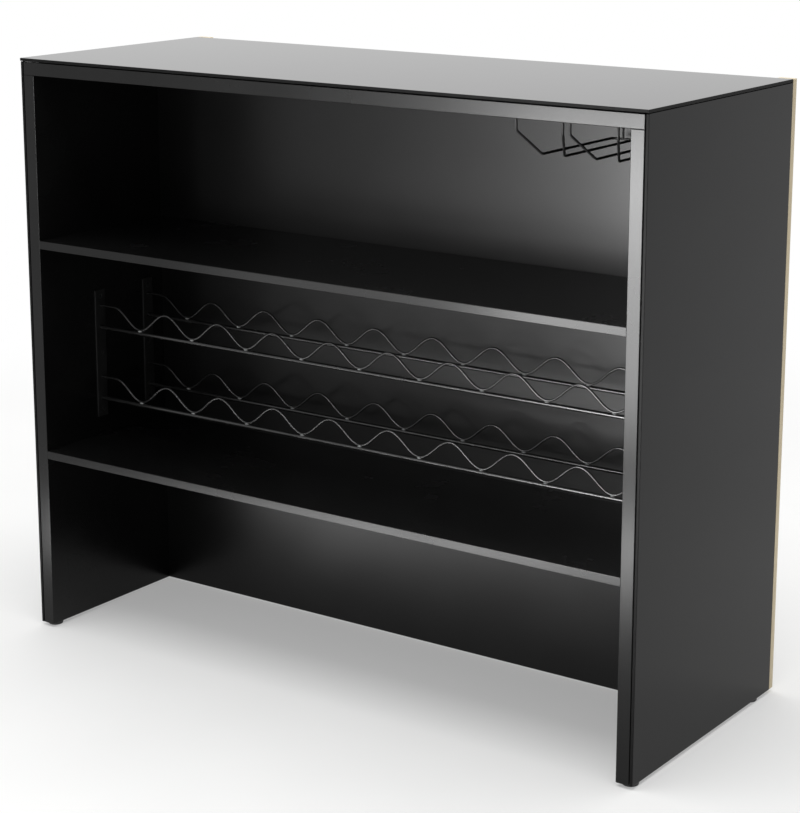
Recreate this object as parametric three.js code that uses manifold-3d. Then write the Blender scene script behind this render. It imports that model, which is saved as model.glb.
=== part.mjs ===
// Bar counter with shelves: a black board carcass clad in black glass, with a two-tier wire rack
// between its shelves and wire hangers under its top.
// Millimetres, +Z up. The open side faces -Y, the knee recess +Y, and the glides stand on z = 0.

import * as THREE from 'three';
import { mergeVertices } from 'three/addons/utils/BufferGeometryUtils.js';
import Module from 'manifold-3d';

const wasm = await Module();
wasm.setup();

// Driving dimensions

// Carcass boards
const WIDTH = 1200; // over the outer faces of the side sheets
const BOARD_T = 22; // side boards and top board
const SHELF_T = 14;
const BACK_T = 16;
const NICHE_DEPTH = 311; // front edges to the back panel
const KNEE_DEPTH = 130; // back panel to the rear edges: the knee recess
const LEG_SPACE_H = 305.5; // side boards' lower ends to the lower shelf
const RACK_BAY_H = 358.5; // lower shelf to upper shelf
const TOP_BAY_H = 282; // upper shelf to top board

// Grooves that house the ends of the shelves and the back panel in the side boards
const HOUSING = 6;
const HOUSING_STOP = 15; // front edges to the start of a shelf's groove

// Glass cladding on frames of bonding tape
const GLASS_T = 5;
const GLASS_LIP = 1.5; // the top sheet stands proud of the front edges
const GLASS_GAP = 1; // side sheet's upper edge to the top sheet
const TAPE_T = 1.5;
const TAPE_W = 20;
const TAPE_INSET = 18; // from the board's edges

// Light-wood lipping, tongued into the boards' rear edges
const LIPPING_T = 13;
const TONGUE_T = 6;
const TONGUE_L = 8;

// Glides under the side boards
const GLIDE_H = 6;
const GLIDE_D = 26;
const GLIDE_CHAMFER = 1.5;
const GLIDE_STEM_D = 8;
const GLIDE_STEM_L = 18;
const GLIDE_FRONT = 20; // axis to the front edge
const GLIDE_REAR = 45; // axis to the rear edge

// Wire rack: round rods with a wavy wire on each, held by flat uprights
const ROD_D = 7;
const ROD_SPACING = 126; // front rod to rear rod
const ROD_BACK_GAP = 43; // rear rod to the back panel
const ROD_RISE = 33; // upright's lower end to the lower rod
const TIER_PITCH = 130;
const WAVE_D = 4;
const WAVE_PITCH = 119; // trough to trough
const WAVE_RISE = 33.5; // trough to crest
const WAVE_TAIL = 20; // least straight end of a wave
const UPRIGHT_W = 25;
const UPRIGHT_T = 3;
const UPRIGHT_RISE = 33.5; // lower shelf to upright
const UPRIGHT_TOP = 28; // upper wave's crest to the upright's upper end
const UPRIGHT_SCREW_END = 12; // first and last screw to the upright's ends

// Hangers: a bent wire with a rear post, welded to two plates
const HANGER_WIRE_D = 4;
const HANGER_BEND_R = 8;
const HANGER_FRONT = 40; // front edges to the legs
const HANGER_REAR = 25; // rear bend to the back panel
const HANGER_WALL = 42; // last leg to the right side board
const LEG_SPREAD = 79; // between a hanger's two legs
const LEG_GAP = 12; // between neighbouring hangers' legs
const LEG_DROP = 23; // top board to the kink
const RAIL_GAP = 38; // between a hanger's rails
const RAIL_DROP = 61; // top board to the rails
const FLARE_DEPTH = 40; // legs to the rails' front ends
const PLATE_T = 2;
const PLATE_W = 14;
const PLATE_CLEAR = 2; // between neighbouring plates
const PLATE_SCREW = 18; // rear post to its plate's screw

// Screws
const CARCASS_SCREW = { headD: 10, headH: 4, shankD: 5 };
const CARCASS_SCREW_BITE = 28; // past the first board
const CARCASS_SCREW_END = 60; // to the ends of the joint
const WOOD_SCREW = { headD: 8, headH: 2.6, shankD: 4 };
const WOOD_SCREW_WALL = 7; // board left past a wood screw
const SCREW_SINK = 0.5; // carcass screw's head below the board's face
const SCREW_POINT = 3;

// Clearance round what sits in a hole or a groove
const CLEAR = 0.3;

// Facets
const SCREW_SIDES = 8;
const GLIDE_SIDES = 16;
const ROD_SIDES = 12;
const WIRE_SIDES = 8;
const WAVE_SIDES = 6;
const WAVE_STEPS = 10; // trough to trough
const BEND_STEPS = 4;

// Places worked out from the driving dimensions

const SIDE_STACK = BOARD_T + TAPE_T + GLASS_T;
const INNER_X = WIDTH / 2 - SIDE_STACK;
const OUTER_X = INNER_X + BOARD_T;
const SHEET_X = OUTER_X + TAPE_T;
const BOARD_X = INNER_X + BOARD_T / 2;
const HOUSED_X = INNER_X + HOUSING;

const BOARD_DEPTH = NICHE_DEPTH + BACK_T + KNEE_DEPTH;
const FRONT_Y = GLASS_LIP - (GLASS_LIP + BOARD_DEPTH + LIPPING_T) / 2;
const BACK_Y = FRONT_Y + NICHE_DEPTH;
const BACK_REAR_Y = BACK_Y + BACK_T;
const REAR_Y = FRONT_Y + BOARD_DEPTH;
const LIPPING_Y = REAR_Y + LIPPING_T;

const BASE_Z = GLIDE_H;
const LOWER_SHELF_Z = BASE_Z + LEG_SPACE_H;
const RACK_FLOOR_Z = LOWER_SHELF_Z + SHELF_T;
const UPPER_SHELF_Z = RACK_FLOOR_Z + RACK_BAY_H;
const CEILING_Z = UPPER_SHELF_Z + SHELF_T + TOP_BAY_H;
const BOARD_TOP_Z = CEILING_Z + BOARD_T;
const SHEET_Z = BOARD_TOP_Z + TAPE_T;
const TOP_Z = SHEET_Z + GLASS_T;

const SIDES = [
  { name: 'left', sign: -1 },
  { name: 'right', sign: 1 },
];
const SHELVES = [
  { name: 'lower', z: LOWER_SHELF_Z },
  { name: 'upper', z: UPPER_SHELF_Z },
];

const REAR_ROD_Y = BACK_Y - ROD_BACK_GAP;
const ROWS = [
  { name: 'front', y: REAR_ROD_Y - ROD_SPACING },
  { name: 'rear', y: REAR_ROD_Y },
];
const TIERS = [
  { name: 'lower', rise: ROD_RISE },
  { name: 'upper', rise: ROD_RISE + TIER_PITCH },
];
const UPRIGHT_Z = RACK_FLOOR_Z + UPRIGHT_RISE;
const TROUGH_RISE = ROD_D / 2 + CLEAR + WAVE_D / 2;
const CREST_RISE = TROUGH_RISE + WAVE_RISE;
const UPRIGHT_H = ROD_RISE + TIER_PITCH + CREST_RISE + UPRIGHT_TOP;
const ROD_HALF = INNER_X - CLEAR;
const PLACES = Math.floor((INNER_X - WAVE_TAIL) * 2 / WAVE_PITCH);

const LEG_Y = FRONT_Y + HANGER_FRONT;
const RAIL_Y = LEG_Y + FLARE_DEPTH;
const BEND_Y = BACK_Y - HANGER_REAR;
const PLATE_END = (LEG_GAP - PLATE_CLEAR) / 2;
const LAST_HANGER_X = INNER_X - HANGER_WALL - LEG_SPREAD / 2;
const HANGERS = [
  { name: 'left', x: LAST_HANGER_X - LEG_SPREAD - LEG_GAP },
  { name: 'right', x: LAST_HANGER_X },
];

// Materials

function finish(color, roughness, metalness) {
  return new THREE.MeshStandardMaterial({ color, roughness, metalness });
}

const BLACK_BOARD = finish(0x161616, 0.4, 0);
const BLACK_GLASS = finish(0x0b0b0c, 0.06, 0);
const FOAM_TAPE = finish(0x101010, 0.95, 0);
const LIGHT_WOOD = finish(0xc1b599, 0.55, 0);
const BLACK_PLASTIC = finish(0x141414, 0.5, 0);
const BLACK_STEEL = finish(0x1c1c1d, 0.35, 0.6);
const ZINC = finish(0x9a9c9e, 0.35, 1);

// Solids

const X_AXIS = new THREE.Vector3(1, 0, 0);
const Z_AXIS = new THREE.Vector3(0, 0, 1);
const DOWN = new THREE.Vector3(0, 0, -1);

// A closed geometry as a solid that can be joined and cut.
function toSolid(geometry) {
  const bare = geometry.clone();
  bare.deleteAttribute('normal');
  bare.deleteAttribute('uv');
  const merged = mergeVertices(bare);
  const corners = merged.index.array;
  const triangles = [];
  for (let i = 0; i < corners.length; i += 3) {
    const [a, b, c] = corners.slice(i, i + 3);
    if (a !== b && b !== c && c !== a) triangles.push(a, b, c);
  }
  return new wasm.Manifold(new wasm.Mesh({
    numProp: 3,
    vertProperties: new Float32Array(merged.attributes.position.array),
    triVerts: new Uint32Array(triangles),
  }));
}

function toGeometry(solid) {
  const mesh = solid.getMesh();
  const geometry = new THREE.BufferGeometry();
  geometry.setAttribute('position', new THREE.BufferAttribute(mesh.vertProperties, 3));
  geometry.setIndex(new THREE.BufferAttribute(mesh.triVerts, 1));
  const faceted = geometry.toNonIndexed();
  faceted.computeVertexNormals();
  return faceted;
}

function joined(solids) {
  return solids.reduce((whole, solid) => whole.add(solid));
}

function cut(solid, tools) {
  return tools.reduce((rest, tool) => rest.subtract(tool), solid);
}

// A box given by its ranges along x, y and z.
function block([x0, x1], [y0, y1], [z0, z1]) {
  const geometry = new THREE.BoxGeometry(x1 - x0, y1 - y0, z1 - z0);
  geometry.translate((x0 + x1) / 2, (y0 + y1) / 2, (z0 + z1) / 2);
  return toSolid(geometry);
}

// The same range on both sides of a middle.
function about(middle, width) {
  return [middle - width / 2, middle + width / 2];
}

// A range along x on one side of the counter's middle, low end first.
function sideRange(sign, near, far) {
  return sign > 0 ? [near, far] : [-far, -near];
}

// A profile of [radius, height] points turned about its axis, aimed along a direction from a place.
function turned(profile, sides, direction, place) {
  const points = profile.map(([radius, height]) => new THREE.Vector2(radius, height));
  const geometry = new THREE.LatheGeometry(points, sides);
  geometry.rotateX(Math.PI / 2);
  geometry.applyQuaternion(new THREE.Quaternion().setFromUnitVectors(Z_AXIS, direction));
  geometry.translate(...place);
  return toSolid(geometry);
}

function pin(diameter, length, sides, direction, place) {
  const radius = diameter / 2;
  return turned([[0, 0], [radius, 0], [radius, length], [0, length]], sides, direction, place);
}

// Equal steps from first to last.
function spread(first, last, count) {
  return Array.from({ length: count }, (_, i) => first + (last - first) * i / (count - 1));
}

// Scene graph

const counter = new THREE.Group();

function section() {
  const group = new THREE.Group();
  counter.add(group);
  return group;
}

function add(group, name, solid, material, place = [0, 0, 0]) {
  const mesh = new THREE.Mesh(toGeometry(solid), material);
  mesh.name = name;
  mesh.position.set(...place);
  group.add(mesh);
}

// Screws: each has its name, its solid and the hole that it sits in

// A countersunk screw whose head lies at the place and whose point is along the direction.
function screw(name, { headD, headH, shankD }, length, direction, place) {
  const head = headD / 2;
  const shank = shankD / 2;
  const body = [[0, 0], [head, 0], [shank, headH], [shank, length - SCREW_POINT], [0, length]];
  const hole = [
    [0, -SCREW_SINK - CLEAR],
    [head + CLEAR, -SCREW_SINK - CLEAR],
    [head + CLEAR, 0],
    [shank + CLEAR, headH],
    [shank + CLEAR, length + CLEAR],
    [0, length + CLEAR],
  ];
  return {
    name,
    body: turned(body, SCREW_SIDES, direction, place),
    hole: turned(hole, SCREW_SIDES, direction, place),
  };
}

const holesOf = (screws) => screws.map(({ hole }) => hole);
const carcassScrewLength = BOARD_T - SCREW_SINK + CARCASS_SCREW_BITE;

// Through a side board into the middle of a shelf's end, under the glass.
const shelfScrews = SHELVES.flatMap((shelf) => SIDES.map(({ name, sign }) => {
  const inward = new THREE.Vector3(-sign, 0, 0);
  const place = [sign * (OUTER_X - SCREW_SINK), (FRONT_Y + BACK_Y) / 2, shelf.z + SHELF_T / 2];
  return screw(`${shelf.name}_shelf_${name}_screw`, CARCASS_SCREW, carcassScrewLength, inward, place);
}));

// Down through the top board, under the glass, at a place on the boards below it.
function topScrew(name, x, y) {
  return screw(name, CARCASS_SCREW, carcassScrewLength, DOWN, [x, y, BOARD_TOP_Z - SCREW_SINK]);
}

const topScrews = SIDES.flatMap(({ name, sign }) => [
  topScrew(`top_${name}_front_screw`, sign * BOARD_X, FRONT_Y + CARCASS_SCREW_END),
  topScrew(`top_${name}_rear_screw`, sign * BOARD_X, REAR_Y - CARCASS_SCREW_END),
  topScrew(`top_${name}_back_screw`, sign * (INNER_X - CARCASS_SCREW_END), BACK_Y + BACK_T / 2),
]);

// Through an upright into a side board, from inside the niche.
const uprightScrewLength = UPRIGHT_T + BOARD_T - WOOD_SCREW_WALL;
const uprightScrewRises = spread(UPRIGHT_SCREW_END, UPRIGHT_H - UPRIGHT_SCREW_END, 3);
const uprightScrews = SIDES.flatMap(({ name, sign }) => ROWS.flatMap((row) => (
  ['low', 'middle', 'high'].map((level, i) => {
    const outward = new THREE.Vector3(sign, 0, 0);
    const place = [sign * (INNER_X - UPRIGHT_T), row.y, UPRIGHT_Z + uprightScrewRises[i]];
    const full = `${row.name}_${name}_upright_${level}_screw`;
    return screw(full, WOOD_SCREW, uprightScrewLength, outward, place);
  })
)));

// Up through a hanger's plates into the top board.
const hangerScrewLength = PLATE_T + BOARD_T - WOOD_SCREW_WALL;
const hangerScrews = HANGERS.flatMap(({ name, x }) => (
  [['front', LEG_Y], ['rear', BEND_Y - PLATE_SCREW]].map(([end, y]) => {
    const place = [x, y, CEILING_Z - PLATE_T];
    return screw(`${name}_hanger_${end}_screw`, WOOD_SCREW, hangerScrewLength, Z_AXIS, place);
  })
));

const fixings = section();
[...shelfScrews, ...topScrews].forEach(({ name, body }) => add(fixings, name, body, ZINC));
[...uprightScrews, ...hangerScrews].forEach(({ name, body }) => add(fixings, name, body, BLACK_STEEL));

// Glides: a turned foot with a stem that is pushed into the side board

const glideX = WIDTH / 2 - SIDE_STACK / 2;
const glidePlaces = SIDES.flatMap(({ name, sign }) => [
  { name: `front_${name}_glide`, at: [sign * glideX, FRONT_Y + GLIDE_FRONT, 0] },
  { name: `rear_${name}_glide`, at: [sign * glideX, REAR_Y - GLIDE_REAR, 0] },
]);

function glide() {
  const radius = GLIDE_D / 2;
  const stem = GLIDE_STEM_D / 2;
  const profile = [
    [0, 0],
    [radius - GLIDE_CHAMFER, 0],
    [radius, GLIDE_CHAMFER],
    [radius, GLIDE_H],
    [stem, GLIDE_H],
    [stem, GLIDE_H + GLIDE_STEM_L],
    [0, GLIDE_H + GLIDE_STEM_L],
  ];
  return turned(profile, GLIDE_SIDES, Z_AXIS, [0, 0, 0]);
}

const glideHoles = glidePlaces.map(({ at: [x, y] }) => pin(
  GLIDE_STEM_D + 2 * CLEAR,
  GLIDE_STEM_L + 2 * CLEAR,
  GLIDE_SIDES,
  Z_AXIS,
  [x, y, BASE_Z - CLEAR],
));

const glides = section();
glidePlaces.forEach(({ name, at }) => add(glides, name, glide(), BLACK_PLASTIC, at));

// Carcass: the top lies on the sides, which house the shelves and the back panel in grooves

const carcass = section();
const nicheRange = [-INNER_X, INNER_X];
const sideHeight = [BASE_Z, CEILING_Z];
const topHeight = [CEILING_Z, BOARD_TOP_Z];
const topMiddleZ = CEILING_Z + BOARD_T / 2;
const shelfScrewHoles = holesOf(shelfScrews);
const topScrewHoles = holesOf(topScrews);
const uprightScrewHoles = holesOf(uprightScrews);

const topBoard = block([-OUTER_X, OUTER_X], [FRONT_Y, REAR_Y], topHeight);
const topTongueGroove = block(
  nicheRange,
  [REAR_Y - TONGUE_L - CLEAR, REAR_Y + CLEAR],
  about(topMiddleZ, TONGUE_T + 2 * CLEAR),
);
const topCuts = [topTongueGroove, ...topScrewHoles, ...holesOf(hangerScrews)];
add(carcass, 'top_board', cut(topBoard, topCuts), BLACK_BOARD);

function sideBoard(sign) {
  const board = block(sideRange(sign, INNER_X, OUTER_X), [FRONT_Y, REAR_Y], sideHeight);
  const grooveX = sideRange(sign, INNER_X - HOUSING, HOUSED_X);
  const through = [BASE_Z - CLEAR, CEILING_Z + CLEAR];
  const shelfGrooves = SHELVES.map(({ z }) => (
    block(grooveX, [FRONT_Y + HOUSING_STOP, BACK_Y], [z, z + SHELF_T + CLEAR])
  ));
  const backGroove = block(grooveX, [BACK_Y, BACK_REAR_Y + CLEAR], through);
  const tongueGroove = block(
    about(sign * BOARD_X, TONGUE_T + 2 * CLEAR),
    [REAR_Y - TONGUE_L - CLEAR, REAR_Y + CLEAR],
    through,
  );
  const grooves = [...shelfGrooves, backGroove, tongueGroove];
  const holes = [shelfScrewHoles, topScrewHoles, uprightScrewHoles, glideHoles].flat();
  return cut(board, [...grooves, ...holes]);
}

SIDES.forEach(({ name, sign }) => add(carcass, `${name}_side_board`, sideBoard(sign), BLACK_BOARD));

// A shelf's ends reach into their grooves behind square front corners.
function shelf(z) {
  const reach = HOUSED_X - CLEAR;
  const height = [z, z + SHELF_T];
  const front = block(nicheRange, [FRONT_Y, BACK_Y], height);
  const housed = block([-reach, reach], [FRONT_Y + HOUSING_STOP + CLEAR, BACK_Y], height);
  return cut(front.add(housed), shelfScrewHoles);
}

SHELVES.forEach(({ name, z }) => add(carcass, `${name}_shelf`, shelf(z), BLACK_BOARD));

const backPanel = block([-HOUSED_X + CLEAR, HOUSED_X - CLEAR], [BACK_Y, BACK_REAR_Y], sideHeight);
add(carcass, 'back_panel', cut(backPanel, topScrewHoles), BLACK_BOARD);

// Lipping: strips with a tongue along the middle of the board's edge

const tongueY = [REAR_Y - TONGUE_L, REAR_Y + LIPPING_T / 2];
SIDES.forEach(({ name, sign }) => {
  const strip = block(sideRange(sign, INNER_X, WIDTH / 2), [REAR_Y, LIPPING_Y], [BASE_Z, TOP_Z]);
  const tongue = block(about(sign * BOARD_X, TONGUE_T), tongueY, [BASE_Z, CEILING_Z - CLEAR]);
  add(carcass, `${name}_lipping`, strip.add(tongue), LIGHT_WOOD);
});
const topStrip = block(nicheRange, [REAR_Y, LIPPING_Y], topHeight);
const topTongue = block([-INNER_X + CLEAR, INNER_X - CLEAR], tongueY, about(topMiddleZ, TONGUE_T));
add(carcass, 'top_lipping', topStrip.add(topTongue), LIGHT_WOOD);

// Glass sheets, each held off its board by a frame of tape

const cladding = section();
const tapeY = [FRONT_Y + TAPE_INSET, REAR_Y - TAPE_INSET];

function inset([low, high], by) {
  return [low + by, high - by];
}

const topSheet = block([-WIDTH / 2, WIDTH / 2], [FRONT_Y - GLASS_LIP, REAR_Y], [SHEET_Z, TOP_Z]);
const topTapeX = inset([-OUTER_X, OUTER_X], TAPE_INSET);
const topTapeZ = [BOARD_TOP_Z, SHEET_Z];
const topTape = cut(block(topTapeX, tapeY, topTapeZ), [
  block(inset(topTapeX, TAPE_W), inset(tapeY, TAPE_W), inset(topTapeZ, -TAPE_T)),
]);
add(cladding, 'top_glass', topSheet, BLACK_GLASS);
add(cladding, 'top_glass_tape', topTape, FOAM_TAPE);

SIDES.forEach(({ name, sign }) => {
  const sheetX = sideRange(sign, SHEET_X, WIDTH / 2);
  const sheet = block(sheetX, [FRONT_Y, REAR_Y], [BASE_Z, SHEET_Z - GLASS_GAP]);
  const tapeX = sideRange(sign, OUTER_X, SHEET_X);
  const tapeZ = inset(sideHeight, TAPE_INSET);
  const tape = cut(block(tapeX, tapeY, tapeZ), [
    block(inset(tapeX, -TAPE_T), inset(tapeY, TAPE_W), inset(tapeZ, TAPE_W)),
  ]);
  add(cladding, `${name}_glass`, sheet, BLACK_GLASS);
  add(cladding, `${name}_glass_tape`, tape, FOAM_TAPE);
});

// Bent wires: a tube whose sections stand at the given points

class BentWire extends THREE.Curve {
  constructor(points) {
    super();
    this.points = points;
  }

  getPoint(t, target = new THREE.Vector3()) {
    const last = this.points.length - 1;
    const place = THREE.MathUtils.clamp(t, 0, 1) * last;
    const step = Math.min(Math.floor(place), last - 1);
    return target.lerpVectors(this.points[step], this.points[step + 1], place - step);
  }

  getPointAt(u, target) {
    return this.getPoint(u, target);
  }

  getTangentAt(u, target) {
    return this.getTangent(u, target);
  }
}

function circle(diameter, sides) {
  const corners = Array.from({ length: sides }, (_, i) => {
    const angle = 2 * Math.PI * i / sides;
    return new THREE.Vector2(Math.cos(angle), Math.sin(angle)).multiplyScalar(diameter / 2);
  });
  return new THREE.Shape(corners);
}

function wire(points, diameter, sides) {
  return toSolid(new THREE.ExtrudeGeometry(circle(diameter, sides), {
    steps: points.length - 1,
    bevelEnabled: false,
    extrudePath: new BentWire(points),
  }));
}

// Points along straight runs between corners, with an arc of the bend radius at each inner corner.
function bent(corners, radius) {
  const points = [corners[0]];
  for (let i = 1; i < corners.length - 1; i += 1) {
    const into = corners[i].clone().sub(corners[i - 1]).normalize();
    const out = corners[i + 1].clone().sub(corners[i]).normalize();
    const turn = into.angleTo(out);
    const start = corners[i].clone().addScaledVector(into, -radius * Math.tan(turn / 2));
    const inward = out.clone().addScaledVector(into, -out.dot(into)).normalize();
    for (let k = 0; k <= BEND_STEPS; k += 1) {
      const angle = turn * k / BEND_STEPS;
      const along = into.clone().multiplyScalar(radius * Math.sin(angle));
      const across = inward.clone().multiplyScalar(radius * (1 - Math.cos(angle)));
      points.push(start.clone().add(along).add(across));
    }
  }
  points.push(corners[corners.length - 1]);
  return points;
}

// Wire rack, in a group that stands at the uprights' lower ends

const rack = section();
rack.position.set(0, 0, UPRIGHT_Z);

// Heights and diameters of the rods and waves that end in an upright's holes.
const uprightSeats = TIERS.flatMap(({ rise }) => [
  { z: rise, diameter: ROD_D },
  { z: rise + CREST_RISE, diameter: WAVE_D },
]);

function upright(sign, y) {
  const strip = block(sideRange(sign, INNER_X - UPRIGHT_T, INNER_X), about(y, UPRIGHT_W), [0, UPRIGHT_H]);
  const seats = uprightSeats.map(({ z, diameter }) => {
    const start = [sign * INNER_X - UPRIGHT_T - CLEAR, y, z];
    return pin(diameter + 2 * CLEAR, 2 * (UPRIGHT_T + CLEAR), ROD_SIDES, X_AXIS, start);
  });
  const screwHoles = uprightScrewHoles.map((hole) => hole.translate([0, 0, -UPRIGHT_Z]));
  return cut(strip, [...seats, ...screwHoles]);
}

function rod() {
  return pin(ROD_D, 2 * ROD_HALF, ROD_SIDES, X_AXIS, [-ROD_HALF, 0, 0]);
}

// The wavy wire lies on its rod at every trough, and runs out level from its end crests.
function wave() {
  const half = PLACES * WAVE_PITCH / 2;
  const middle = spread(-half, half, PLACES * WAVE_STEPS + 1).map((x) => {
    const crestwards = (1 + Math.cos(2 * Math.PI * (x + half) / WAVE_PITCH)) / 2;
    return new THREE.Vector3(x, 0, TROUGH_RISE + WAVE_RISE * crestwards);
  });
  const ends = [-ROD_HALF, ROD_HALF].map((x) => new THREE.Vector3(x, 0, CREST_RISE));
  return wire([ends[0], ...middle, ends[1]], WAVE_D, WAVE_SIDES);
}

ROWS.forEach((row) => {
  SIDES.forEach(({ name, sign }) => {
    add(rack, `${row.name}_${name}_upright`, upright(sign, row.y), BLACK_STEEL);
  });
  TIERS.forEach((tier) => {
    const place = [0, row.y, tier.rise];
    add(rack, `${tier.name}_${row.name}_rod`, rod(), BLACK_STEEL, place);
    add(rack, `${tier.name}_${row.name}_wave`, wave(), BLACK_STEEL, place);
  });
});

// Hangers, each in its own frame under the top board

// From one leg down to its rail, back round the rear bend, and up to the other leg.
function hangerWire() {
  const half = (sign) => [
    new THREE.Vector3(sign * LEG_SPREAD / 2, LEG_Y, -PLATE_T / 2),
    new THREE.Vector3(sign * LEG_SPREAD / 2, LEG_Y, -LEG_DROP),
    new THREE.Vector3(sign * RAIL_GAP / 2, RAIL_Y, -RAIL_DROP),
    new THREE.Vector3(sign * RAIL_GAP / 2, BEND_Y, -RAIL_DROP),
  ];
  return wire(bent([...half(-1), ...half(1).reverse()], HANGER_BEND_R), HANGER_WIRE_D, WIRE_SIDES);
}

// The wire, the post on its rear bend, and the plates that they are welded to.
function hanger(x) {
  const post = pin(HANGER_WIRE_D, RAIL_DROP - PLATE_T / 2, WIRE_SIDES, Z_AXIS, [0, BEND_Y, -RAIL_DROP]);
  const plateZ = [-PLATE_T, 0];
  const frontPlate = block(about(0, LEG_SPREAD + 2 * PLATE_END), about(LEG_Y, PLATE_W), plateZ);
  const rearPlateY = [BEND_Y - PLATE_SCREW - PLATE_W / 2, BEND_Y + PLATE_W / 2];
  const rearPlate = block(about(0, PLATE_W), rearPlateY, plateZ);
  const screwHoles = holesOf(hangerScrews).map((hole) => hole.translate([-x, 0, -CEILING_Z]));
  return cut(joined([hangerWire(), post, frontPlate, rearPlate]), screwHoles);
}

const hangers = section();
HANGERS.forEach(({ name, x }) => {
  add(hangers, `${name}_hanger`, hanger(x), BLACK_STEEL, [x, 0, CEILING_Z]);
});

export default counter;
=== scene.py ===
# %% [markdown]
# # A bar counter with shelves
# The counter is a carcass of black lacquered board, clad on its top and sides in
# black glass. A rack of wavy wire lies between its shelves, and two wire hangers are
# screwed under the top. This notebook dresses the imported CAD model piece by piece.
# The pieces could be placed by numbers of their own. They take their places from the
# CAD nodes instead, so that both models stay one object when a size changes.

# %% Load the frame
import math

import bmesh
import bpy
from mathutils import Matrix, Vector


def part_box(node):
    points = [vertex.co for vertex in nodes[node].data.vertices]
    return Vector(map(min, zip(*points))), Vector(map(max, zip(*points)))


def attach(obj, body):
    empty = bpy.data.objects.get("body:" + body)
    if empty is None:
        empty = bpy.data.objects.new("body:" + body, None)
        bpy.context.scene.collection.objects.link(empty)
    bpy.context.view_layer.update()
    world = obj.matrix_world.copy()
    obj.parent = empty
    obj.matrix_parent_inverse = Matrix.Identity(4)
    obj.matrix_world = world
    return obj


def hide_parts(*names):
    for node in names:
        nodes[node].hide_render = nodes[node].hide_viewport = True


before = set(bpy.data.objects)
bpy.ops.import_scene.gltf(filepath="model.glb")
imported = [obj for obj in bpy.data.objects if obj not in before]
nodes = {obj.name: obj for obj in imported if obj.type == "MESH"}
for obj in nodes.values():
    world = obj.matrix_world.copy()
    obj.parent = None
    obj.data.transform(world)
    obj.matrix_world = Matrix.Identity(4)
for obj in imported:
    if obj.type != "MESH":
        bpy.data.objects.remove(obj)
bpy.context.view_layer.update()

# %% [markdown]
# ## Colours and nodes
# A paint chart names a colour by its code, and a hex code does the same here. Blender
# adds light up in linear numbers, so one function turns a code into them. Materials
# and wires below are trees of nodes. They could be drawn by hand in the node editor,
# but a script can be read and run again, so one small function adds each node.

# %% Colours and nodes
def colour(code):
    parts = [int(code[i:i + 2], 16) / 255 for i in (1, 3, 5)]
    linear = [p / 12.92 if p <= 0.04045 else ((p + 0.055) / 1.055) ** 2.4 for p in parts]
    return (*linear, 1.0)


def add(tree, kind, inputs=None, **settings):
    node = tree.nodes.new(kind)
    for name, value in settings.items():
        setattr(node, name, value)
    for name, value in (inputs or {}).items():
        if isinstance(value, bpy.types.NodeSocket):
            tree.links.new(value, node.inputs[name])
        else:
            node.inputs[name].default_value = value
    return node


print("mid grey in linear light:", colour("#808080")[:3])

# %% [markdown]
# ## How a finish starts
# Even a black finish isn't one flat colour: its tone and gloss drift from place to
# place, and its skin has a grain. A photographed texture could show that, but it has
# a seam and one size. Noise on the piece's own coordinates has no seam, and its scale
# is worked out from the pattern's real size in millimetres. A number that is the same
# all over goes straight into the shader's socket.

# %% A new material, and one that drifts
MM_PER_M = 1000.0


def new_material(name, **fixed):
    material = bpy.data.materials.new(name)
    material.use_nodes = True
    tree = material.node_tree
    tree.nodes.clear()
    place = add(tree, "ShaderNodeTexCoord").outputs["Object"]
    shader = add(tree, "ShaderNodeBsdfPrincipled")
    for socket, value in fixed.items():
        shader.inputs[socket.replace("_", " ")].default_value = value
    add(tree, "ShaderNodeOutputMaterial", {"Surface": shader.outputs["BSDF"]})
    return material, tree, place, shader


def drifting(name, patch_mm, tones, gloss, detail=4.0, stretch=(1.0, 1.0, 1.0),
             grain_mm=None, lift=0.0, depth_mm=0.0, **fixed):
    made, tree, place, shader = new_material(name, **fixed)
    spread = add(tree, "ShaderNodeMapping", {"Vector": place, "Scale": stretch})
    patch = add(tree, "ShaderNodeTexNoise", {
        "Vector": spread.outputs["Vector"], "Scale": MM_PER_M / patch_mm, "Detail": detail})
    share = add(tree, "ShaderNodeMapRange", {
        "Value": patch.outputs["Fac"], "From Min": 0.35, "From Max": 0.65})
    tone = add(tree, "ShaderNodeMix", {
        0: share.outputs["Result"], 6: colour(tones[0]), 7: colour(tones[1])}, data_type="RGBA")
    rough = add(tree, "ShaderNodeMapRange", {
        "Value": patch.outputs["Fac"], "From Min": 0.3, "From Max": 0.7,
        "To Min": gloss[0], "To Max": gloss[1]})
    tree.links.new(tone.outputs[2], shader.inputs["Base Color"])
    tree.links.new(rough.outputs["Result"], shader.inputs["Roughness"])
    if grain_mm:
        grain = add(tree, "ShaderNodeTexNoise", {
            "Vector": place, "Scale": MM_PER_M / grain_mm, "Detail": 2.0})
        skin = add(tree, "ShaderNodeBump", {
            "Height": grain.outputs["Fac"], "Strength": lift, "Distance": depth_mm / MM_PER_M})
        tree.links.new(skin.outputs["Normal"], shader.inputs["Normal"])
    print("finish:", name, "patches of", patch_mm, "mm")
    return made


# %% [markdown]
# ## Black lacquer
# The boards are fibreboard, sprayed black and left at a satin gloss. The sprayed film
# dries with a shallow orange peel, and is a little duller in some places than others.
# A clear coat layer over black would also do. One layer is enough here, because the
# film is black all through. The back panel looks duller, so it has a gloss of its own.

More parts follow.
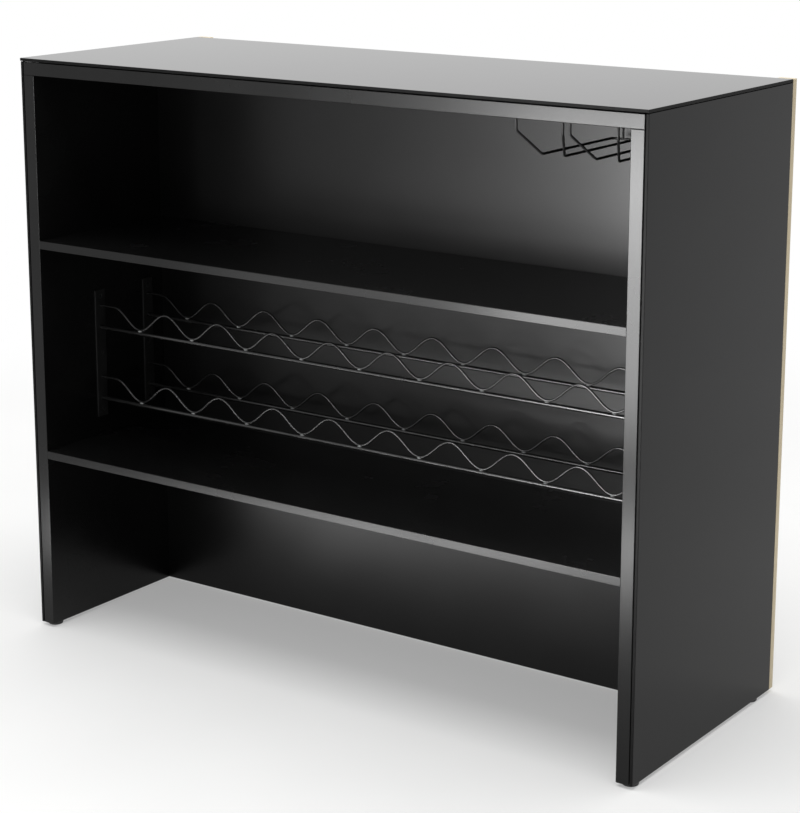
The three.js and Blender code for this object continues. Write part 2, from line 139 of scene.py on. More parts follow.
# %% Black satin lacquer
# The eye gets a deep black with a soft sheen, and the peel blurs the sheen's edge. The
# specular level is matched to the counter, and is lower than a bare film's.
LACQUER_TONES = ("#0A0A0A", "#0F0F0F")
PEEL = dict(grain_mm=1.4, lift=0.02, depth_mm=0.4, Specular_IOR_Level=0.22)
LACQUER = drifting("black_satin_lacquer", 140, LACQUER_TONES, (0.25, 0.28), **PEEL)
PANEL_LACQUER = drifting("black_panel_lacquer", 140, LACQUER_TONES, (0.29, 0.32), **PEEL)

# %% [markdown]
# ## Black glass
# The cladding is float glass with black paint on its back, so it looks black and
# mirrors the room at its front. A clear sheet over a black one would show that depth,
# but at five millimetres it can't be told from one black gloss, which renders faster.
# A film of wiping marks, longer than it is high, drifts over its polish. The edges
# are ground, so they scatter light instead of mirroring it.

# %% Back-painted glass and its ground edge
# The eye gets a sharp mirror that brightens at a low angle. Its level is matched to the
# counter too.
GLASS = drifting("back_painted_black_glass", 200, ("#070708", "#0B0B0C"), (0.02, 0.05),
                 detail=3.0, stretch=(1.0, 1.0, 2.5), Specular_IOR_Level=0.12)
# The ground edge is a dull dark line round the mirror. A grinding wheel's grit is finer
# than this, and is drawn as coarse as it needs to show.
EDGE = drifting("ground_glass_edge", 1.1, ("#040404", "#080808"), (0.5, 0.62), detail=2.0,
                grain_mm=1.1, lift=0.1, depth_mm=0.2, Specular_IOR_Level=0.12)

# %% [markdown]
# ## Light wood
# The lipping is a strip of pale maple, planed and clear lacquered. Its growth rings
# show as soft bands along the strip, with short fine pores of the same direction. A
# wave texture would give bands too, but too even ones, so the bands are noise that is
# stretched along the grain. The same noise, six times finer, gives the pores.

# %% Pale maple, with its grain along one axis
# The eye gets a warm pale line with faint streaks. Real pores are a tenth of a
# millimetre wide, and are drawn about one millimetre wide so that they show.
BAND_MM, BAND_LENGTH_MM, PORES_PER_BAND = 6.25, 200.0, 6.0


def pale_wood(name, along):
    made, tree, place, shader = new_material(name)
    stretch = [MM_PER_M / BAND_MM] * 3
    stretch[along] = MM_PER_M / BAND_LENGTH_MM
    grain = add(tree, "ShaderNodeMapping", {"Vector": place, "Scale": stretch}).outputs["Vector"]
    bands = add(tree, "ShaderNodeTexNoise", {
        "Vector": grain, "Scale": 1.0, "Detail": 5.0}).outputs["Fac"]
    pores = add(tree, "ShaderNodeTexNoise", {
        "Vector": grain, "Scale": PORES_PER_BAND, "Detail": 2.0}).outputs["Fac"]
    ring = add(tree, "ShaderNodeMapRange", {"Value": bands, "From Min": 0.3, "From Max": 0.7})
    base = add(tree, "ShaderNodeMix", {
        0: ring.outputs["Result"], 6: colour("#BBAA88"), 7: colour("#CFC2A4")}, data_type="RGBA")
    shut = add(tree, "ShaderNodeMapRange", {"Value": pores, "From Min": 0.28, "From Max": 0.4})
    streak = add(tree, "ShaderNodeMix", {
        0: shut.outputs["Result"], 6: colour("#A08C68"), 7: colour("#FFFFFF")}, data_type="RGBA")
    both = add(tree, "ShaderNodeMix", {
        0: 0.5, 6: base.outputs[2], 7: streak.outputs[2]}, data_type="RGBA", blend_type="MULTIPLY")
    rough = add(tree, "ShaderNodeMapRange", {
        "Value": bands, "From Min": 0.3, "From Max": 0.7, "To Min": 0.38, "To Max": 0.5})
    skin = add(tree, "ShaderNodeBump", {"Height": pores, "Strength": 0.15, "Distance": 0.0003})
    tree.links.new(both.outputs[2], shader.inputs["Base Color"])
    tree.links.new(rough.outputs["Result"], shader.inputs["Roughness"])
    tree.links.new(skin.outputs["Normal"], shader.inputs["Normal"])
    print("finish:", name, "bands of", BAND_MM, "mm")
    return made


WOOD_UP = pale_wood("pale_maple_grain_up", 2)
WOOD_ALONG = pale_wood("pale_maple_grain_along", 0)

# %% [markdown]
# ## Powder-coated steel
# Rods, strips and wires are steel under baked powder, which melts into a skin with a
# fine ripple. It could be a metal under a coat layer, but the skin hides the metal,
# so it is a plain black gloss. The rods are coated glossy and show bright lines. The
# strips and the hangers are coated matt. The weld beads lie under the same black
# powder, and their bright dots are a painted highlight in a light grey base colour.

# %% Two powder coats, and a painted highlight for the welds
# The eye gets thin bright lines on the rods, painted bright dots on the welds and plain
# black on the strips.
RIPPLE = dict(grain_mm=0.67, lift=0.06, depth_mm=0.2)
STEEL = drifting("gloss_black_powder_coated_steel", 33, ("#181818", "#222222"),
                 (0.2, 0.28), **RIPPLE)
# Light grey base colour: a painted highlight on the beads, which are black like the rods.
PAINTED_BEAD_HIGHLIGHT = drifting("bright_weld_under_powder", 33, ("#8E8E8E", "#A6A6A6"),
                (0.2, 0.28), **RIPPLE)
BLACK_STEEL = drifting("matt_black_powder_coated_steel", 33, ("#0A0A0A", "#101010"),
                       (0.5, 0.58), **RIPPLE)

# %% [markdown]
# ## Moulded plastic and zinc
# The glides are moulded in black plastic, and a spark-eroded mould leaves it a fine
# matt grain. The carcass screws are zinc plated, and the zinc shows small spangles.
# Both could have textures of their own. The drifting finish has the same parts, so
# only sizes, tones and gloss differ, and zinc is a metal.

# %% Plastic and zinc
# The eye gets a matt dark grey. A mould's spark grain is finer, and is drawn coarser
# so that it shows.
PLASTIC = drifting("black_moulded_plastic", 0.55, ("#101010", "#191919"), (0.42, 0.55),
                   detail=3.0, grain_mm=0.55, lift=0.15, depth_mm=0.2)
# The eye gets a cool bright metal, a little uneven.
ZINC = drifting("bright_zinc", 1.7, ("#B2B4B6", "#CBCDCF"), (0.28, 0.4),
                detail=3.0, Metallic=1.0)

# %% [markdown]
# ## Foam tape
# The glass is bonded on strips of closed-cell foam, and its cut edges show the round
# cells. Noise has no cells, so this finish is made from a Voronoi pattern, whose
# distance from each cell's middle gives tone, dullness and dents at once.

# %% Black foam tape
# The eye gets a dull black that takes the light out of the gap. Real cells are about
# half this wide, and are drawn coarser so that they show.
CELL_MM = 0.45
FOAM, tree, place, shader = new_material("black_foam_tape")
cells = add(tree, "ShaderNodeTexVoronoi", {
    "Vector": place, "Scale": MM_PER_M / CELL_MM}).outputs["Distance"]
share = add(tree, "ShaderNodeMapRange", {"Value": cells, "From Min": 0.35, "From Max": 0.65})
tone = add(tree, "ShaderNodeMix", {
    0: share.outputs["Result"], 6: colour("#060606"), 7: colour("#101010")}, data_type="RGBA")
rough = add(tree, "ShaderNodeMapRange", {
    "Value": cells, "From Min": 0.3, "From Max": 0.7, "To Min": 0.8, "To Max": 0.95})
skin = add(tree, "ShaderNodeBump", {"Height": cells, "Strength": 0.5, "Distance": 0.0003})
tree.links.new(tone.outputs[2], shader.inputs["Base Color"])
tree.links.new(rough.outputs["Result"], shader.inputs["Roughness"])
tree.links.new(skin.outputs["Normal"], shader.inputs["Normal"])
print("finish:", FOAM.name, "cells of", CELL_MM, "mm")

# %% [markdown]
# ## Handing a piece over
# A finished piece is a plain mesh at the origin, with its place in its mesh. It could
# be left to carry its own transform, but patterns on object coordinates would then
# slide. Nothing on the counter moves, so every piece rides on the one body. It stands
# for the CAD nodes that it covers, which are hidden.

# %% How a piece is handed over
def hand_over(piece, material, slot, *stands_for):
    piece.data.materials.clear()
    piece.data.materials.append(material)
    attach(piece, "root")
    if stands_for:
        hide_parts(*stands_for)
    print("piece:", piece.name, "faces:", len(piece.data.polygons))
    return piece


def mesh_object(name, shape, smooth=False):
    mesh = bpy.data.meshes.new(name)
    shape.to_mesh(mesh)
    shape.free()
    for face in mesh.polygons:
        face.use_smooth = smooth
    made = bpy.data.objects.new(name, mesh)
    bpy.context.scene.collection.objects.link(made)
    return made


# %% [markdown]
# ## Eased edges
# No board or glass is sold with a knife edge: boards are sanded along their edges and
# glass gets a ground arris. That narrow round is what catches the light. A Bevel
# modifier would round every edge, also in grooves and holes, so a copy of the node is
# bevelled only along the edges of its outer box.

# %% Round the outer edges of a copied node
WELD_DISTANCE, FLAT_ANGLE, ON_BOX = 1e-6, 0.01, 2e-5


def eased(node, name, radius, steps=3):
    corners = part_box(node)
    shape = bmesh.new()
    shape.from_mesh(nodes[node].data)
    bmesh.ops.remove_doubles(shape, verts=shape.verts, dist=WELD_DISTANCE)
    bmesh.ops.dissolve_limit(shape, angle_limit=FLAT_ANGLE, verts=shape.verts, edges=shape.edges)

    def on_rim(edge):
        held = 0
        for axis in range(3):
            ends = [v.co[axis] for v in edge.verts]
            held += any(max(abs(e - c[axis]) for e in ends) < ON_BOX for c in corners)
        return held >= 2 and edge.calc_length() > 4 * radius

    rims = [edge for edge in shape.edges if on_rim(edge)]
    bmesh.ops.bevel(
        shape, geom=rims, offset=radius, offset_type="OFFSET", segments=steps,
        profile=0.5, affect="EDGES", clamp_overlap=True)
    print("eased edges:", node, len(rims))
    return mesh_object(name, shape)


# %% [markdown]
# ## Boards
# The top board lies on the two sides. The shelves stop in shallow housings between
# the sides, and the back panel stands in a groove, well in from the rear edge. Plain
# boxes would do for boards, but the CAD nodes already have the grooves and the holes,
# so each board is a copy of its node with eased edges.

# %% Carcass boards
BOARD_EASE = 0.0009
for board in ("top_board", "left_side_board", "right_side_board", "lower_shelf", "upper_shelf"):
    hand_over(eased(board, board + "_lacquered", BOARD_EASE), LACQUER, "black_board", board)
panel = eased("back_panel", "back_panel_lacquered", BOARD_EASE)
hand_over(panel, PANEL_LACQUER, "black_board", "back_panel")

# %% [markdown]
# ## Glass
# Three sheets clad the top and the two sides. Each has a narrow flat arris, so two
# steps are enough for its round. The ground edge could be a piece of its own, but it
# is the same sheet, so the faces that look sideways take the second finish.

# %% Glass sheets
GLASS_EASE = 0.0006
for sheet, thin in (("top_glass", 2), ("left_glass", 0), ("right_glass", 0)):
    clad = hand_over(eased(sheet, sheet + "_polished", GLASS_EASE, 2), GLASS, "black_glass", sheet)
    clad.data.materials.append(EDGE)
    for face in clad.data.polygons:
        face.material_index = int(abs(face.normal[thin]) < 0.5)

# %% [markdown]
# ## Lipping
# Strips of pale wood cover the rear edges of the sides and of the top. A tongue on
# each strip sits in a groove of the board. The strips could be one frame with mitred
# corners, but they meet square, so each is its own piece with its own grain.

# %% Wooden lipping
LIPPING_EASE = 0.0012
for strip, wood in (("left_lipping", WOOD_UP), ("right_lipping", WOOD_UP),
                    ("top_lipping", WOOD_ALONG)):
    hand_over(eased(strip, strip + "_sanded", LIPPING_EASE), wood, "light_wood", strip)

# %% [markdown]
# ## Bent wire
# Rods, waves and hangers are round wire that follows a path. A curve object with a
# round bevel would sweep it too, but its corners would have to be drawn. This node
# tree takes a polyline, rounds its corners as a bending jig does, and sweeps a circle
# along it, so the path's few points are all that differs from wire to wire.

# %% A tree that sweeps wire along a path
BEND_STEPS = 8


def new_tree(name, **sockets):
    tree = bpy.data.node_groups.new(name, "GeometryNodeTree")
    for way in ("INPUT", "OUTPUT"):
        tree.interface.new_socket(name="Geometry", in_out=way, socket_type="NodeSocketGeometry")
    for socket, kind in sockets.items():
        tree.interface.new_socket(
            name=socket.replace("_", " "), in_out="INPUT", socket_type="NodeSocket" + kind)
    return tree, add(tree, "NodeGroupInput").outputs


WIRE, given = new_tree("bent_wire", Wire_radius="Float", Bend_radius="Float",
                       Sides="Int", Coat="Material")
path = add(WIRE, "GeometryNodeMeshToCurve", {"Mesh": given["Geometry"]})
bent = add(WIRE, "GeometryNodeFilletCurve", {
    "Curve": path.outputs["Curve"], "Radius": given["Bend radius"], "Count": BEND_STEPS},
    mode="POLY")
ring = add(WIRE, "GeometryNodeCurvePrimitiveCircle", {
    "Radius": given["Wire radius"], "Resolution": given["Sides"]})
swept = add(WIRE, "GeometryNodeCurveToMesh", {
    "Curve": bent.outputs["Curve"], "Profile Curve": ring.outputs["Curve"], "Fill Caps": True})
smooth = add(WIRE, "GeometryNodeSetShadeSmooth", {"Geometry": swept.outputs["Mesh"]})
real = add(WIRE, "GeometryNodeRealizeInstances", {"Geometry": smooth.outputs["Geometry"]})
coated = add(WIRE, "GeometryNodeSetMaterial", {
    "Geometry": real.outputs["Geometry"], "Material": given["Coat"]})
add(WIRE, "NodeGroupOutput", {"Geometry": coated.outputs["Geometry"]})
print("tree:", WIRE.name, "nodes:", len(WIRE.nodes))

# %% [markdown]
# ## One piece at many points
# Screws, weld beads and glides are alike, and only their places differ. They could be
# copied in a loop. This tree puts one source piece on every point, turned the same
# way, and makes the copies real, so the points say all that there is to say.

# %% A tree that repeats a small piece at points
REPEAT, given = new_tree("repeat_at_points", Source="Object", Turn="Rotation", Coat="Material")
source = add(REPEAT, "GeometryNodeObjectInfo", {"Object": given["Source"]})
placed = add(REPEAT, "GeometryNodeInstanceOnPoints", {
    "Points": given["Geometry"], "Instance": source.outputs["Geometry"],
    "Rotation": given["Turn"]})
real = add(REPEAT, "GeometryNodeRealizeInstances", {"Geometry": placed.outputs["Instances"]})
coated = add(REPEAT, "GeometryNodeSetMaterial", {
    "Geometry": real.outputs["Geometry"], "Material": given["Coat"]})
add(REPEAT, "NodeGroupOutput", {"Geometry": coated.outputs["Geometry"]})
print("tree:", REPEAT.name, "nodes:", len(REPEAT.nodes))

# %% [markdown]
# ## Growing a piece
# A tree works as a modifier on a mesh of points and edges. The modifier could stay
# live, but a piece is handed over as a plain mesh, so the result is kept and the
# modifier goes. An input is set by its socket's identifier, which never changes.

# %% Run a tree and keep its result as a plain mesh
def grown(name, points, edges, tree, **values):
    mesh = bpy.data.meshes.new(name)
    mesh.from_pydata(points, edges, [])
    made = bpy.data.objects.new(name, mesh)
    bpy.context.scene.collection.objects.link(made)
    step = made.modifiers.new("tree", "NODES")
    step.node_group = tree
    for item in tree.interface.items_tree:
        value = item.name.replace(" ", "_")
        if item.in_out == "INPUT" and value in values:
            step[item.identifier] = values[value]
    graph = bpy.context.evaluated_depsgraph_get()
    result = bpy.data.meshes.new_from_object(made.evaluated_get(graph))
    made.modifiers.clear()
    made.data = result
    print("grown:", name, "from", len(points), "points")
    return made


def chain(points, first=0):
    return [(first + i, first + i + 1) for i in range(len(points) - 1)]


# %% [markdown]
# ## Wire rack
# Each of the two tiers has a straight rod at the front and one at the rear, with a
# wavy wire on each. The waves could be drawn as handles of a curve. They follow a
# rule, so a cosine gives their points: nine troughs between two end crests, and from
# there the wire runs level into the upright.

# %% Rods and waves
TIERS, ROWS, SIDES = ("lower", "upper"), ("front", "rear"), ("left", "right")
WAVE_PITCH, TROUGHS, WAVE_RADIUS, WAVE_STEPS = 0.119, 9, 0.002, 440
END_CREST = TROUGHS / 2 * WAVE_PITCH
for tier in TIERS:
    for row in ROWS:
        rod, wave = f"{tier}_{row}_rod", f"{tier}_{row}_wave"
        low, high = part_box(rod)
        mid, half = (low + high) / 2, (high.z - low.z) / 2
        ends = [(low.x, mid.y, mid.z), (high.x, mid.y, mid.z)]
        bar = grown(rod + "_round", ends, chain(ends), WIRE,
                    Wire_radius=half, Bend_radius=0.0, Sides=28, Coat=STEEL)
        hand_over(bar, STEEL, "black_steel", rod)
        low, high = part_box(wave)
        rise = high.z - low.z - 2 * WAVE_RADIUS
        path = []
        for i in range(WAVE_STEPS + 1):
            x = low.x + (high.x - low.x) * i / WAVE_STEPS
            turn = 2 * math.pi * max(-END_CREST, min(END_CREST, x)) / WAVE_PITCH
            path.append((x, mid.y, low.z + WAVE_RADIUS + rise * (1 - math.cos(turn)) / 2))
        wavy = grown(wave + "_round", path, chain(path), WIRE,
                     Wire_radius=WAVE_RADIUS, Bend_radius=0.0, Sides=14, Coat=STEEL)
        hand_over(wavy, STEEL, "black_steel", wave)

# %% [markdown]
# ## Weld beads
# The waves are spot-welded to the rods where they touch, and each weld squeezes out a
# small bead, black like the rod, whose bright look is a painted highlight. A bump in
# the finish would be flat from the side, so a bead is a real form: a ball, drawn out
# along the rod. One is made, and the tree repeats it.

# %% Weld beads
BEAD_HALF = (0.0042, 0.0028, 0.0021)
BEAD_RISE = 0.0004
shape = bmesh.new()
bmesh.ops.create_icosphere(shape, subdivisions=3, radius=1.0)
for v in shape.verts:
    v.co = Vector(v.co[i] * BEAD_HALF[i] for i in range(3))
drop = mesh_object("bead_source", shape, smooth=True)
spots = []
for tier in TIERS:
    for row in ROWS:
        low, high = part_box(f"{tier}_{row}_rod")
        y, z = (low.y + high.y) / 2, high.z + BEAD_RISE
        spots += [((k - TROUGHS // 2) * WAVE_PITCH, y, z) for k in range(TROUGHS)]
# The beads take the light grey finish, which paints their highlight.
beads = grown("rack_weld_beads", spots, [], REPEAT, Source=drop, Coat=PAINTED_BEAD_HIGHLIGHT)
bpy.data.objects.remove(drop)
hand_over(beads, PAINTED_BEAD_HIGHLIGHT, "black_steel")

# %% [markdown]
# ## Uprights
# Four strips of flat steel on the side boards carry the rods. They are sheared,
# drilled and tumbled, which rounds their edges slightly. They could be swept like the
# wire, but the CAD nodes have their holes, so they are eased copies like the boards.

# %% Flat uprights
STRIP_EASE = 0.0006
for row in ROWS:
    for side in SIDES:
        strip = f"{row}_{side}_upright"
        hand_over(eased(strip, strip + "_strip", STRIP_EASE), BLACK_STEEL, "black_steel", strip)

# %% [markdown]
# ## Hangers
# A hanger is one wire with two legs that come in to a pair of rails, joined by a bend
# at the rear. A cross plate holds the legs at the top, and a post with a plate holds
# the bend. The wire could be swept in three pieces, but it is one path, so the tree
# sweeps it at once. The plates are added to its mesh, because all of it is welded.

# %% Wire hangers
HANGER_RADIUS, HANGER_BEND = 0.002, 0.008
LEG_HALF, RAIL_HALF = 0.0395, 0.019
KINK_DROP, RAIL_DROP, LEG_RUN = 0.023, 0.061, 0.04
PLATE_HALF, PLATE_THICK, PLATE_EASE, POST_PLATE = 0.007, 0.002, 0.0004, 0.025


def plate(shape, low, high):
    made = bmesh.ops.create_cube(shape, size=1.0)["verts"]
    for v in made:
        v.co = Vector(low[i] + (v.co[i] + 0.5) * (high[i] - low[i]) for i in range(3))
    edges = {edge for v in made for edge in v.link_edges}
    bmesh.ops.bevel(
        shape, geom=list(edges), offset=PLATE_EASE, segments=2, profile=0.5, affect="EDGES")


for side in SIDES:
    hanger = side + "_hanger"
    low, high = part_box(hanger)
    x = (low.x + high.x) / 2
    leg_y, bend_y = low.y + PLATE_HALF, high.y - PLATE_HALF
    rail_y = leg_y + LEG_RUN
    top, kink, rail = high.z - PLATE_THICK / 2, high.z - KINK_DROP, high.z - RAIL_DROP
    loop = [(x - LEG_HALF, leg_y, top), (x - LEG_HALF, leg_y, kink),
            (x - RAIL_HALF, rail_y, rail), (x - RAIL_HALF, bend_y, rail),
            (x + RAIL_HALF, bend_y, rail), (x + RAIL_HALF, rail_y, rail),
            (x + LEG_HALF, leg_y, kink), (x + LEG_HALF, leg_y, top)]
    post = [(x, bend_y, rail), (x, bend_y, top)]
    wires = grown(hanger + "_wire", loop + post, chain(loop) + chain(post, len(loop)), WIRE,
                  Wire_radius=HANGER_RADIUS, Bend_radius=HANGER_BEND, Sides=16, Coat=BLACK_STEEL)
    shape = bmesh.new()
    shape.from_mesh(wires.data)
    under = high.z - PLATE_THICK
    plate(shape, (low.x, leg_y - PLATE_HALF, under), (high.x, leg_y + PLATE_HALF, high.z))
    plate(shape, (x - PLATE_HALF, bend_y - POST_PLATE, under),
          (x + PLATE_HALF, bend_y + PLATE_HALF, high.z))
    shape.to_mesh(wires.data)
    shape.free()
    hand_over(wires, BLACK_STEEL, "black_steel", hanger)

# %% [markdown]
# ## Screws
# Countersunk screws hold the uprights and the hangers. The head is turned and its
# cross recess is punched. A boolean cut would leave long thin faces on such a small
# head, so the head is made of rings whose vertices sink where they lie in the cross.

# %% Cross-recessed screw
HEAD_RADIUS, CORE_RADIUS, SCREW_LENGTH, POINT_LENGTH = 0.004, 0.0013, 0.017, 0.003
AROUND, RINGS = 40, 14
CROSS_HALF, CROSS_REACH, CROSS_DEPTH, HEAD_DISH = 0.16, 0.58, 0.0011, 0.0002
TURNS = [2 * math.pi * k / AROUND for k in range(AROUND)]


def head_ring(shape, radius):
    ring = []
    for turn in TURNS:
        x, y = radius * math.cos(turn), radius * math.sin(turn)
        near, far = sorted((abs(x) / HEAD_RADIUS, abs(y) / HEAD_RADIUS))
        punched = near < CROSS_HALF and far < CROSS_REACH
        sink = CROSS_DEPTH if punched else HEAD_DISH * (radius / HEAD_RADIUS) ** 4
        ring.append(shape.verts.new((x, y, -sink)))
    return ring


shape = bmesh.new()
rings = [head_ring(shape, HEAD_RADIUS * (i + 1) / RINGS) for i in range(RINGS)]
for radius, depth in ((CORE_RADIUS, HEAD_RADIUS - CORE_RADIUS),
                      (CORE_RADIUS, SCREW_LENGTH - POINT_LENGTH),
                      (CORE_RADIUS * 0.1, SCREW_LENGTH)):
    rings.append([shape.verts.new((radius * math.cos(turn), radius * math.sin(turn), -depth))
                  for turn in TURNS])
for inner, outer in zip(rings, rings[1:]):
    for k in range(AROUND):
        shape.faces.new((inner[k - 1], outer[k - 1], outer[k], inner[k]))
shape.faces.new(rings[0])
shape.faces.new(rings[-1][::-1])
bmesh.ops.recalc_face_normals(shape, faces=shape.faces)
screw = mesh_object("screw_source", shape)
print("screw faces:", len(screw.data.polygons))

# %% [markdown]
# The screws look three ways: into the left board, into the right board and up into
# the top. Each screw could be its own piece. Those that look the same way are one
# piece here, because the tree turns all its copies alike.

# %% Screws on the walls and under the top
looks = {"left": (0.0, math.pi / 2, 0.0), "right": (0.0, -math.pi / 2, 0.0),
         "hanger": (math.pi, 0.0, 0.0)}
heads = {group: {} for group in looks}
for name in sorted(nodes):
    if not name.endswith("_screw") or not ("upright" in name or "hanger" in name):
        continue
    low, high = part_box(name)
    mid = (low + high) / 2
    if "hanger" in name:
        heads["hanger"][name] = (mid.x, mid.y, low.z)
    elif "left" in name:
        heads["left"][name] = (high.x, mid.y, mid.z)
    else:
        heads["right"][name] = (low.x, mid.y, mid.z)
for group, turn in looks.items():
    made = grown(group + "_screws", list(heads[group].values()), [], REPEAT,
                 Source=screw, Turn=turn, Coat=STEEL)
    hand_over(made, STEEL, "black_steel", *heads[group])
bpy.data.objects.remove(screw)

# %% [markdown]
# ## Glides
# A glide is a moulded button with a stem that is pressed into the end of the side
# board. Its rim is rounded so that it doesn't catch on the floor. A cylinder with a
# bevel would come close, but a turned form is simplest to spin from its profile.

# %% Plastic glides
GLIDE_RADIUS, GLIDE_HEIGHT, RIM = 0.013, 0.006, 0.0022
STEM_RADIUS, STEM_LENGTH, RIM_STEPS, SPIN_STEPS = 0.004, 0.018, 6, 48
profile = [(0.0, 0.0), (GLIDE_RADIUS - RIM, 0.0)]
for i in range(1, RIM_STEPS + 1):
    turn = math.pi / (2 * RIM_STEPS) * i
    profile.append((GLIDE_RADIUS - RIM + RIM * math.sin(turn), RIM - RIM * math.cos(turn)))
stem_top = GLIDE_HEIGHT + STEM_LENGTH
profile += [(GLIDE_RADIUS, GLIDE_HEIGHT), (STEM_RADIUS, GLIDE_HEIGHT),
            (STEM_RADIUS, stem_top), (0.0, stem_top)]
shape = bmesh.new()
verts = [shape.verts.new((r, 0.0, z)) for r, z in profile]
edges = [shape.edges.new(pair) for pair in zip(verts, verts[1:])]
bmesh.ops.spin(shape, geom=verts + edges, cent=(0, 0, 0), axis=(0, 0, 1),
               angle=2 * math.pi, steps=SPIN_STEPS, use_merge=True)
bmesh.ops.remove_doubles(shape, verts=shape.verts, dist=WELD_DISTANCE)
bmesh.ops.recalc_face_normals(shape, faces=shape.faces)
glide = mesh_object("glide_source", shape)
feet = [f"{row}_{side}_glide" for row in ROWS for side in SIDES]
places = []
for foot in feet:
    low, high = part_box(foot)
    places.append(((low.x + high.x) / 2, (low.y + high.y) / 2, low.z))
made = grown("moulded_glides", places, [], REPEAT, Source=glide, Coat=PLASTIC)
bpy.data.objects.remove(glide)
hand_over(made, PLASTIC, "black_plastic", *feet)

# %% [markdown]
# ## What stays as the CAD made it
# The tape frames and the carcass screws lie behind the glass. They could be made
# finer, but nobody sees them, so they keep their CAD shape and only get a finish.

# %% Finish of the hidden pieces
hidden = {}
for name in nodes:
    if name.endswith("_tape"):
        hidden[name] = FOAM
    elif name.endswith("_screw") and "upright" not in name and "hanger" not in name:
        hidden[name] = ZINC
for name, finish in hidden.items():
    nodes[name].data.materials.clear()
    nodes[name].data.materials.append(finish)
print("hidden pieces finished:", len(hidden))

# %% [markdown]
# ## Floor
# The counter stands on a pale floor that runs into a white room. A curved backdrop
# would also hide the horizon. A flat floor is simpler: away from the counter it turns
# into plain white for the camera and in mirrors, and near the counter enough of its
# own shade is left for a soft shadow.

# %% Pale floor
FLOOR_HALF, SHADE_NEAR, WHITE_FROM, WHITE_NEAR = 20.0, 1.2, 2.6, 0.3


def shown(tree):
    ray = add(tree, "ShaderNodeLightPath").outputs
    mirrored = add(tree, "ShaderNodeMath", {
        0: ray["Is Glossy Ray"], 1: ray["Is Transmission Ray"]}, operation="MAXIMUM")
    seen = add(tree, "ShaderNodeMath", {
        0: ray["Is Camera Ray"], 1: mirrored.outputs["Value"]}, operation="MAXIMUM")
    return seen.outputs["Value"]


pale = drifting("pale_studio_floor", 500, ("#F4F4F3", "#F8F8F7"), (0.7, 0.8))
tree = pale.node_tree
away = add(tree, "ShaderNodeVectorMath", {
    0: tree.nodes["Texture Coordinate"].outputs["Object"]}, operation="LENGTH")
far = add(tree, "ShaderNodeMapRange", {
    "Value": away.outputs["Value"], "From Min": SHADE_NEAR, "From Max": WHITE_FROM,
    "To Min": WHITE_NEAR}, interpolation_type="SMOOTHSTEP")
lift = add(tree, "ShaderNodeMath", {
    0: far.outputs["Result"], 1: shown(tree)}, operation="MULTIPLY")
white = add(tree, "ShaderNodeEmission", {"Color": colour("#FFFFFF"), "Strength": 1.0})
mixed = add(tree, "ShaderNodeMixShader", {
    0: lift.outputs["Value"], 1: tree.nodes["Principled BSDF"].outputs["BSDF"],
    2: white.outputs["Emission"]})
tree.links.new(mixed.outputs["Shader"], tree.nodes["Material Output"].inputs["Surface"])
shape = bmesh.new()
bmesh.ops.create_grid(shape, x_segments=8, y_segments=8, size=FLOOR_HALF)
floor = mesh_object("studio_floor", shape)
floor.data.materials.append(pale)
print("floor half width:", FLOOR_HALF, "m")

# %% [markdown]
# ## Soft light
# One large soft box hangs over the counter. A sun would be simpler, but it throws hard
# shadows, and a broad box gives the soft ones of a studio.

# %% Overhead soft box
def soft_box(name, at, towards, width, height, power):
    lamp = bpy.data.lights.new(name, "AREA")
    lamp.shape = "RECTANGLE"
    lamp.size, lamp.size_y, lamp.energy = width, height, power
    made = bpy.data.objects.new(name, lamp)
    made.location = at
    made.rotation_euler = (Vector(towards) - Vector(at)).to_track_quat("-Z", "Y").to_euler()
    made.visible_camera = False
    bpy.context.scene.collection.objects.link(made)
    print("light:", name, power, "W")
    return made


soft_box("overhead_box", (0.0, -0.3, 3.4), (0.0, 0.0, 0.0), 3.0, 3.0, 95.0)

# %% [markdown]
# ## Sheen on the lacquer
# Black lacquer shows little but what it mirrors. Brighter light all round would only
# grey it, so a studio uses soft boxes behind a honeycomb grid, which sends the light
# one way. Two boxes at the front are for the front edges and the back panel, and three
# low strips are for the two shelves and the panel under them. They light glossy
# reflections only, so the plain light on the counter stays as it is.

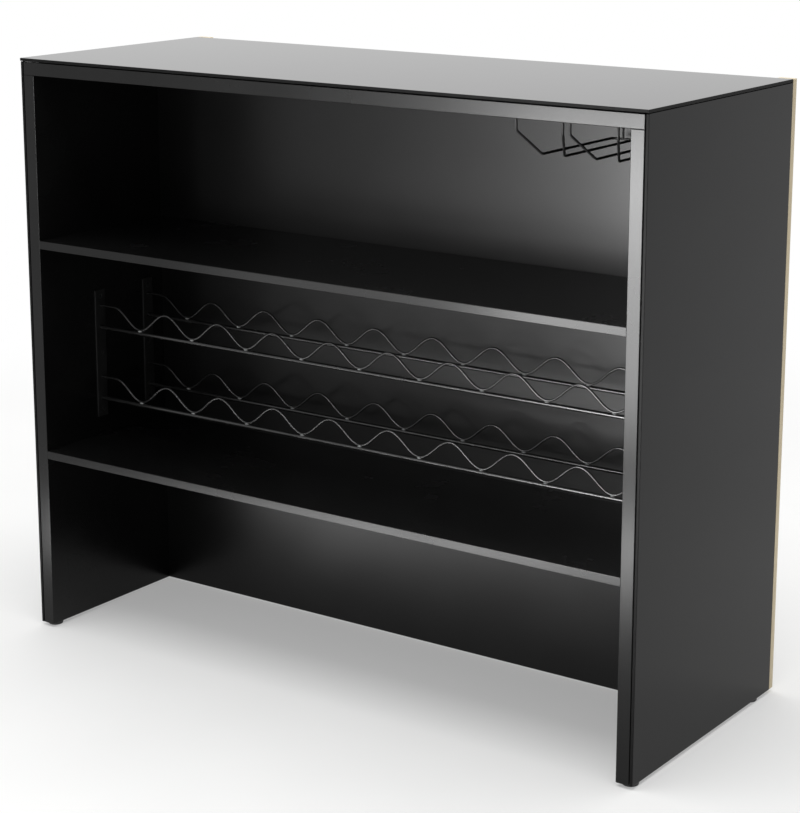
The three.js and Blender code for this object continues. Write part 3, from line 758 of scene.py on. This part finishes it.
# %% Gridded boxes
GRID_SPREAD = math.radians(50)
for settings in (
        ("far_box", (-0.98, -3.4, 0.6), (0.55, -0.23, 0.83), 1.17, 0.7, 4.9),
        ("near_box", (0.21, -1.0, 0.6), (0.57, -0.23, 0.68), 0.56, 0.54, 1.8),
        ("shelf_strip", (-0.42, -1.0, 0.49), (0.0, -0.23, 0.69), 0.6, 0.16, 0.08),
        ("floor_strip", (-0.03, -0.95, 0.06), (0.33, -0.23, 0.31), 1.8, 0.1, 1.2),
        ("kick_strip", (-0.12, -0.42, 0.04), (0.16, 0.077, 0.16), 0.76, 0.2, 0.12)):
    box = soft_box(*settings)
    box.data.spread = GRID_SPREAD
    box.visible_diffuse = False

# %% [markdown]
# ## White room
# The room is white, both to the camera and in the mirror of the glass. A white wall
# could be built, but it would light the counter too. The world tells rays apart, so
# its light on the counter stays at a plain level and colours look as they are.

# %% White room
ROOM_LIGHT = 0.6
world = bpy.data.worlds.new("white_room")
world.use_nodes = True
tree = world.node_tree
tree.nodes.clear()
lit = add(tree, "ShaderNodeBackground", {"Color": colour("#FAFAFA"), "Strength": ROOM_LIGHT})
white = add(tree, "ShaderNodeBackground", {"Color": colour("#FFFFFF"), "Strength": 1.0})
mixed = add(tree, "ShaderNodeMixShader", {
    0: shown(tree), 1: lit.outputs["Background"], 2: white.outputs["Background"]})
add(tree, "ShaderNodeOutputWorld", {"Surface": mixed.outputs["Shader"]})
bpy.context.scene.world = world
bpy.context.scene.view_settings.view_transform = "Standard"
print("room light:", ROOM_LIGHT)

# %% [markdown]
# ## Camera
# The camera stands to the right of the open side, a little above the top, and looks
# slightly down. A level camera with a large lens shift would keep the uprights
# parallel, but it would lose the counter from other sides. So it is tilted, and the
# shift is small. Its place, turn and lens were fitted to the counter's corners.

# %% Camera
LOOK_DOWN, LOOK_LEFT = 0.225, 0.61412
lens = bpy.data.cameras.new("studio_camera")
lens.lens = 96.7
lens.shift_y = -0.0984
camera = bpy.data.objects.new("studio_camera", lens)
camera.location = (2.0423, -2.8743, 1.3872)
camera.rotation_euler = (math.pi / 2 - LOOK_DOWN, 0.0, LOOK_LEFT)
bpy.context.scene.collection.objects.link(camera)
bpy.context.scene.camera = camera
print("camera lens:", lens.lens, "mm")
